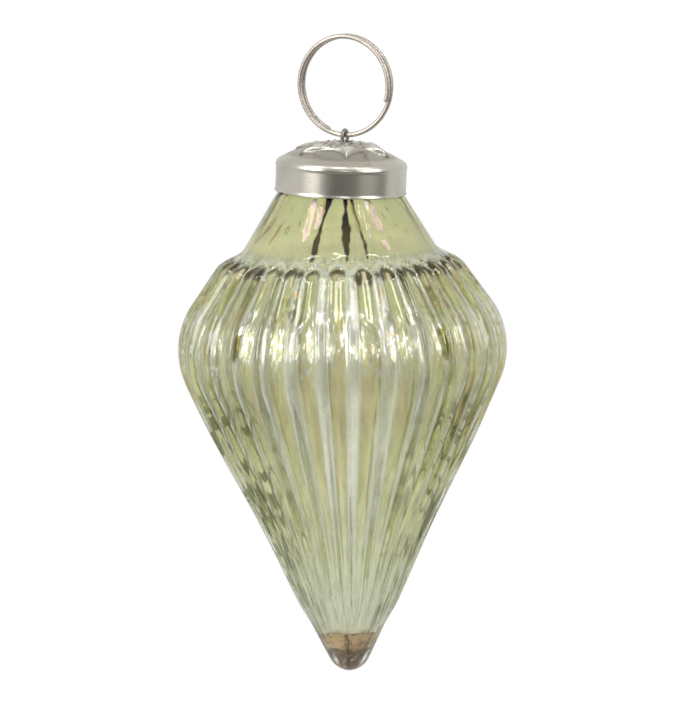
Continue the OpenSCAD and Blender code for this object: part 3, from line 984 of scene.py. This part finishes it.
def lustre_fields():
    """A material with the film's noises, marks and height bands as fields for its layers."""
    p = Paint("lustre", IOR=1.0)
    grain = p.attribute("grain", "Vector")
    for name, (around, along, detail, roughness) in LUSTRE_NOISES.items():
        setattr(p, name, p.noise(p.stretched(grain, around, along), 1.0, detail, roughness))
    for name in WHOLE_MARKS:
        setattr(p, name, p.attribute(name))
    # Noise for the painted shadows in loops at the sides
    p.looped = p.noise(p.stretched(p.attribute("loops", "Vector"), 1, LOOP_SQUEEZE))
    p.height = p.height_of(grain)
    p.in_neck = p.ramp(p.height, *NECK_BAND)
    p.off_neck = p.without(p.in_neck)
    p.in_cone = p.ramp(p.height, *CONE_BAND)
    p.in_low = p.ramp(p.height, *LOW_BAND)
    p.on_flank = p.times(p.ramp(p.height, *FLANK_BAND), p.off_neck)
    shift = p.times(p.maths("SUBTRACT", p.cloud, 0.5), BELLY_SHIFT)
    p.in_belly = p.band(p.maths("ADD", p.height, shift), *BELLY_BAND)
    p.plain = p.most(p.fade(p.in_low, 1.0, 0.3), p.times(p.beside, 0.8))
    p.rod = p.times(p.ramp(p.ridge, 0.0, 0.95), p.off_neck, p.plain)
    p.patch = p.times(p.ramp(p.crumb, 0.51, 0.57), p.in_belly)
    gold_from = p.fade(p.on_flank, 0.6, 0.56)
    p.gold = p.times(p.ramp(p.fleck, gold_from, 0.68), p.off_neck, p.fade(p.in_cone, 0.8, 0.1))
    p.cluster = p.times(p.ramp(p.cloud, 0.5, 0.57), p.on_flank)
    p.beads = p.times(p.ramp(p.crumb, 0.55, 0.6), p.cluster)
    p.pearl = p.times(p.attribute("pearl"), p.ramp(p.fleck, 0.34, 0.5))
    # Painted shade in the hollows under the arches
    p.cave = p.times(p.attribute("cave"), p.ramp(p.crumb, 0.3, 0.46))
    # Painted golden glints near the hollows
    p.glint = p.times(p.attribute("glint"), p.ramp(p.fleck, 0.34, 0.48))
    return p


def flutes(p):
    """Green and straw flutes, paler in the cone, with pale rods between them, a painted highlight along each
    rod and painted light at the sides.
    """
    # Painted highlight along the middle of each rod
    rod_highlight = p.times(p.ramp(p.rod, 0.8, 0.98), p.ramp(p.thread, 0.46, 0.58))
    return p.layered(
        p.blend(p.ramp(p.line, 0.4, 0.62), OLIVE, STRAW),
        (p.tone, PALE_FLUTE, 0.5),
        (p.in_cone, CONE_PALE, 0.8),
        (p.in_low, LOW_PALE, 0.9),
        (p.on_flank, FLANK_GREEN, 0.55),
        # Painted light: paler at the sides seen from the front, less so in the cone
        (p.times(p.beside, p.fade(p.in_cone, 0.45, 0.0)), PAINTED_SIDE_LIGHT),
        (p.band(p.height, *MIDDLE_BAND), MID_OLIVE, 0.55),
        (p.rod, ROD_WHITE, 0.88),
        (rod_highlight, ROD_HIGHLIGHT))


def shaded(p, colour):
    """Painted brown and dark grey reflections below the belly, painted shadows in loops and painted shade on
    rod edges.
    """
    below = p.band(p.height, *BELOW_BAND)
    # Painted reflections below the belly: brown in the flutes, dark grey on one side of the rods
    brown_reflection = p.times(below, p.ramp(p.ridge, 0.5, 0.2), p.ramp(p.line, 0.42, 0.58))
    dark_reflection = p.times(p.band(p.ridge, (0.35, 0.6), (1.0, 0.8)), below, p.ramp(p.outer, 0.0, 0.4),
                    p.ramp(p.line, 0.58, 0.46))
    # Painted shadows in loops at the sides
    loop_from = p.ramp(p.in_cone, 0.0, 0.7, 0.525, 0.48)
    loops = p.times(p.ramp(p.looped, loop_from, 0.55), p.beside, p.ramp(p.height, *SIDE_BAND, 0.35, 1.0))
    # Painted shade along one edge of each rod, and along the rods on the flank
    border = p.times(p.band(p.ridge, (0.08, 0.28), (0.7, 0.4)), p.ramp(p.outer, -0.1, 0.4),
                     p.ramp(p.thread, 0.45, 0.6))
    seam = p.times(p.band(p.ridge, (0.2, 0.42), (0.78, 0.55)), p.on_flank, p.ramp(p.thread, 0.42, 0.54))
    shade = p.most(p.times(loops, 0.85), p.times(p.most(border, seam), 0.76))
    return p.layered(
        colour,
        (brown_reflection, BROWN_REFLECTION, 0.45),
        (dark_reflection, DARK_REFLECTION, 0.4),
        (p.times(shade, p.off_neck, p.plain), PAINTED_SHADE))


def lined(p, colour):
    """The neck and its pale lining, the frill on the ledge and the stain above the lacquer."""
    mottle = p.ramp(p.cloud, 0.35, 0.65)
    frill = p.times(p.veil, p.ramp(p.height, *FRILL_BAND), 0.65)
    stain = p.times(p.ramp(p.height, *STAIN_BAND), p.ramp(p.sand, 0.5, 0.6), 0.8)
    return p.layered(
        colour,
        (p.in_neck, p.blend(mottle, NECK_GREEN, NECK_GOLD)),
        (p.veil, p.blend(mottle, VEIL_GREEN, VEIL_GOLD)),
        (frill, p.blend(p.ramp(p.crumb, 0.42, 0.58), FRILL_DARK, FRILL_PALE)),
        (p.faint, FAINT_WHITE),
        (stain, STAIN))


def flecked(p, colour):
    """Sand all over, bright patches on the belly, gold flecks, and clusters of dirt and beads."""
    sand = p.ramp(p.sand, 0.35, 0.6, 0.6, 1.0)
    return p.layered(
        p.blend(p.fade(p.in_low, 0.22, 0.4), colour, sand, "MULTIPLY"),
        (p.in_belly, CREAM, 0.25),
        (p.patch, PATCH, 0.9),
        (p.gold, GOLD),
        (p.times(p.ramp(p.crumb, 0.46, 0.4), p.cluster, 0.75), DIRT),
        (p.beads, BEAD_GOLD))


def marked(p, colour):
    """Pearly and rusty streaks, painted shade under the arches with painted crest highlights and glints,
    dark streaks, drips.
    """
    warm = p.blend(p.ramp(p.crumb, 0.4, 0.5), PINK, PEACH)
    return p.layered(
        colour,
        (p.pearl, p.blend(p.ramp(p.crumb, 0.5, 0.62), warm, HONEY)),
        (p.rust, RUST_BROWN),
        (p.cave, p.blend(p.ramp(p.crumb, 0.45, 0.6), HOLLOW_SHADE_BLACK, HOLLOW_SHADE_BROWN)),
        (p.crest, CREST_HIGHLIGHT, 0.8),
        (p.glint, GLINT_GOLD),
        (p.dark, DARK_OLIVE),
        (p.drip, p.blend(p.ramp(p.height, *BURNT_BAND), BURNT, BURNT_TOP)))


def set_shine(p):
    """Opaque where a mark is thick, and mirror-like in patches and flecks."""
    opaque = p.times(p.rod, 0.1)
    for mark, share in ((p.drip, 0.95), (p.cave, 0.9), (p.dark, 0.3), (p.veil, 0.6), (p.pearl, 0.75),
                        (p.crest, 0.5), (p.glint, 0.85), (p.beads, 0.7)):
        opaque = p.most(opaque, p.times(mark, share))
    p.set(Transmission_Weight=p.without(opaque))
    p.set(Roughness=p.maths("ADD", p.ramp(p.fleck, 0.3, 0.7, 0.08, 0.2), p.times(p.pearl, 0.25)))
    dim = p.times(p.on_flank, p.ramp(p.ridge, 0.4, 0.9, 0.85, 0.5))
    bright = p.times(p.ramp(p.fleck, 0.38, 0.62, 0.1, 0.25), p.without(dim))
    for mark, share in ((p.patch, 0.52), (p.gold, 0.6)):
        bright = p.most(bright, p.times(mark, share))
    bright = p.times(bright, p.fade(p.in_cone, 1.0, 0.5), p.fade(p.in_neck, 1.0, 0.12),
                     p.ramp(opaque, 0.5, 0.8, 1.0, 0.0))
    p.set(Metallic=p.most(bright, p.times(p.pearl, 0.6)))
    p.bump(p.fleck, 0.3, 0.0003)


def lustre():
    p = lustre_fields()
    p.set(Base_Color=marked(p, flecked(p, lined(p, shaded(p, flutes(p))))))
    set_shine(p)
    return p.material


def dried_lacquer():
    """Amber lacquer, deeper below, with a crust, pits and cracks."""
    p = Paint("dried_lacquer", Roughness=0.3)
    grain = p.attribute("grain", "Vector")
    spots = p.noise(p.stretched(grain, 1.6, 1.6), 1.0, 5.0, 0.7)
    broad = p.noise(p.stretched(grain, 0.35, 0.35))
    level = p.maths("ADD", p.height_of(grain), p.times(p.maths("SUBTRACT", broad, 0.5), 1.2))
    colour = p.layered(
        p.blend(p.ramp(broad, 0.4, 0.6), AMBER, TOFFEE),
        (p.ramp(level, POOL_TOP_Z - 2.3, POOL_TOP_Z - 2.7), DEEP_BROWN),
        (p.ramp(spots, 0.54, 0.66, 0.0, 0.8), CRUST),
        (p.ramp(spots, 0.46, 0.36, 0.0, 0.7), PIT),
        (p.attribute("crack"), CRACK_BROWN))
    p.set(Base_Color=colour)
    p.bump(spots, 0.8, 0.0004)
    return p.material


# Metals, as colours, roughness and fineness of the tarnish
CAP_METAL = dict(bright=(0.61, 0.58, 0.50), dull=(0.53, 0.50, 0.43), rough=0.27, scale=1.0, pressed=True)
EYELET_METAL = dict(bright=(0.34, 0.32, 0.30), dull=(0.24, 0.22, 0.20), rough=0.3, scale=2.0)
RING_METAL = dict(bright=(0.56, 0.51, 0.44), dull=(0.46, 0.42, 0.36), rough=0.42, scale=2.0)
POLISHED = (0.86, 0.83, 0.76)
SOILED = (0.30, 0.28, 0.23)


def worn_metal(name, bright, dull, rough, scale, pressed=False):
    """Plated metal with a cloudy tarnish; a pressed one is soiled in its hollows and polished above."""
    p = Paint(name, Metallic=1.0)
    where = p.node("TexCoord").outputs["Object"]
    cloud = p.noise(where, 200 * scale)
    colour = p.blend(p.ramp(cloud, 0.35, 0.7), bright, dull)
    if pressed:
        colour = p.layered(colour, (p.attribute("polished"), POLISHED, 0.8),
                           (p.attribute("soiled"), SOILED, 0.6))
    p.set(Base_Color=colour)
    p.set(Roughness=p.ramp(cloud, 0.3, 0.7, rough * 0.9, rough * 1.2))
    p.bump(p.noise(where, 130 * scale, 1.0), 0.1, 0.0002)
    return p.material


def cement():
    p = Paint("cement", Roughness=0.85)
    spots = p.noise(p.node("TexCoord").outputs["Object"], 900, 5.0, 0.65)
    p.set(Base_Color=p.blend(p.ramp(spots, 0.35, 0.65), (0.5, 0.42, 0.31), (0.66, 0.58, 0.46)))
    p.bump(spots, 0.6, 0.0003)
    return p.material


def put_on(obj, *materials):
    """Gives the object these materials, in the order of its faces' material numbers."""
    numbers = np.zeros(len(obj.data.polygons), np.int32)
    obj.data.polygons.foreach_get("material_index", numbers)
    obj.data.materials.clear()
    for m in materials:
        obj.data.materials.append(m)
    obj.data.polygons.foreach_set("material_index", numbers)


glass_obj, film_obj = glass()
put_on(glass_obj, clear_glass(), inner_glass())
put_on(film_obj, lustre())
put_on(lacquer(), dried_lacquer())
put_on(cap(), worn_metal("cap_metal", **CAP_METAL))
put_on(eyelet(), worn_metal("eyelet_wire", **EYELET_METAL))
put_on(ring(), worn_metal("ring_wire", **RING_METAL))
put_on(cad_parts["cap_cement"], cement())


# Camera: the photograph's angle, with a long lens
CAMERA_AZIMUTH = FRONT + pi / 2
CAMERA_ELEVATION = 8
CAMERA_DISTANCE = 0.7
CAMERA_ROLL = radians(0.4)
SENSOR_MM = 36
PIXELS_PER_MM = 5.495
IMAGE_WIDTH = 690
AIM_RIGHT = 2.5 / PIXELS_PER_MM
AIM_DOWN = 5.0 / PIXELS_PER_MM
belly = hung_glass(np.zeros((1, 3)))[0]


def toward(azimuth, elevation):
    """The way to an azimuth, counted to the right of the camera, and an elevation, in degrees."""
    a = CAMERA_AZIMUTH + radians(azimuth)
    e = radians(elevation)
    return Vector((sin(a) * cos(e), -cos(a) * cos(e), sin(e)))


def placed(obj, location, facing, roll):
    """Puts a camera or lamp there, with its back along the facing way."""
    scene.collection.objects.link(obj)
    obj.location = location
    obj.rotation_mode = "QUATERNION"
    obj.rotation_quaternion = facing.to_track_quat("Z", "Y") @ Quaternion((0, 0, 1), roll)


back = toward(0, CAMERA_ELEVATION)
right = vec(cos(CAMERA_AZIMUTH), sin(CAMERA_AZIMUTH), 0)
aim = Vector(belly + (right * AIM_RIGHT - vec(0, 0, AIM_DOWN)) * MM)
camera_data = bpy.data.cameras.new("camera")
camera_data.sensor_width = SENSOR_MM
camera_data.sensor_fit = "HORIZONTAL"
camera_data.lens = PIXELS_PER_MM * SENSOR_MM * CAMERA_DISTANCE / MM / IMAGE_WIDTH
camera_data.clip_start = 0.05
camera_data.clip_end = 20
camera = bpy.data.objects.new("camera", camera_data)
placed(camera, aim + back * CAMERA_DISTANCE, back, CAMERA_ROLL)
scene.camera = camera

# Softboxes, as name, azimuth and elevation from the belly, distance, width, height, roll and radiance
SOFTBOXES = (
    ("left", -55, 23, 0.7, 0.32, 0.56, 20, 6),
    ("right", 55, 23, 0.7, 0.18, 0.56, -20, 6),
    ("front", 8, 20, 0.7, 0.11, 0.2, 25, 5),
    ("top", 0, 63.5, 0.6, 0.19, 0.08, 0, 10),
    ("top_left", -55, 58.5, 0.6, 0.19, 0.08, 0, 10),
    ("top_right", 55, 58.5, 0.6, 0.19, 0.08, 0, 10),
    ("low", 0, -58, 0.22, 0.1, 0.06, 0, 0.8),
)


def softbox(name, azimuth, elevation, distance, width, height, roll, radiance):
    lamp = bpy.data.lights.new(f"{name}_softbox", "AREA")
    lamp.shape = "ELLIPSE"
    lamp.size, lamp.size_y = width, height
    lamp.energy = radiance * pi * width * height * pi / 4
    way = toward(azimuth, elevation)
    placed(bpy.data.objects.new(lamp.name, lamp), Vector(belly) + way * distance, way, radians(roll))


for box in SOFTBOXES:
    softbox(*box)

# What the glass and the metal see round them, white behind and grey in front, as lobes: a direction, the
# cosines where the lobe starts and is full, and the levels outside and inside it
SURROUND = (
    (toward(0, 0), -0.2, 0.35, 1.0, 0.19),
    (toward(-85, 0), 0.55, 0.85, 0.0, 0.6),
    (toward(-38, 0), 0.9, 0.98, 0.0, 0.26),
    (toward(45, 0), 0.8, 0.97, 0.0, 0.06),
    (toward(85, 0), 0.55, 0.9, 0.0, 0.06),
    (toward(0, 90), 0.0, 0.7, 0.0, 0.4),
    (toward(0, -90), 0.4, 0.8, 0.0, 0.6),
)
AMBIENT = 0.65
GREY = (0.8, 0.8, 0.8)
WHITE = (1, 1, 1)


def any_ray(nodes, *kinds):
    """1 for a ray of any of these kinds."""
    rays = nodes.node("LightPath").outputs
    either = rays[f"Is {kinds[0]} Ray"]
    for kind in kinds[1:]:
        either = nodes.maths("MAXIMUM", either, rays[f"Is {kind} Ray"])
    return either


def surround(nodes):
    """The level of light that comes from each way."""
    way = nodes.node("TexCoord").outputs["Generated"]
    total = 0.0
    for direction, *limits in SURROUND:
        facing = nodes.node("VectorMath", way, direction, operation="DOT_PRODUCT").outputs["Value"]
        total = nodes.maths("ADD", total, nodes.ramp(facing, *limits), use_clamp=True)
    return total


def light_world():
    """Plain light for the object, the surround for reflections and the glass, and white for the camera."""
    world = bpy.data.worlds.new("studio")
    scene.world = world
    world.use_nodes = True
    world.node_tree.nodes.clear()
    w = Nodes(world.node_tree)
    ambient = w.node("Background", GREY, AMBIENT).outputs[0]
    around = w.node("Background", GREY, surround(w)).outputs[0]
    white = w.node("Background", WHITE).outputs[0]
    bent = w.node("MixShader", any_ray(w, "Glossy", "Transmission"), ambient, around).outputs[0]
    seen = w.node("MixShader", any_ray(w, "Camera"), bent, white).outputs[0]
    w.node("OutputWorld", seen)


FLOOR_Z = -0.28
FLOOR_SIZE = 3


def pale_floor():
    """A pale floor, white to the camera and unseen in reflections and through the glass."""
    bpy.ops.mesh.primitive_plane_add(size=FLOOR_SIZE, location=(0, 0, FLOOR_Z))
    floor = bpy.context.object
    floor.name = "floor"
    pale = bpy.data.materials.new("pale_floor")
    pale.use_nodes = True
    t = Nodes(pale.node_tree)
    matt = t.tree.nodes["Principled BSDF"]
    t.put(matt.inputs["Base Color"], GREY)
    glow = t.node("Emission").outputs[0]
    mixed = t.node("MixShader", any_ray(t, "Camera"), matt.outputs[0], glow).outputs[0]
    t.put(t.tree.nodes["Material Output"].inputs["Surface"], mixed)
    floor.data.materials.append(pale)
    floor.visible_glossy = False
    floor.visible_transmission = False
    return floor


light_world()
floor = pale_floor()

scene.view_settings.view_transform = "Standard"
scene.cycles.max_bounces = 24
scene.cycles.transmission_bounces = 24
scene.cycles.glossy_bounces = 12
scene.cycles.sample_clamp_indirect = 8
scene.cycles.use_denoising = True
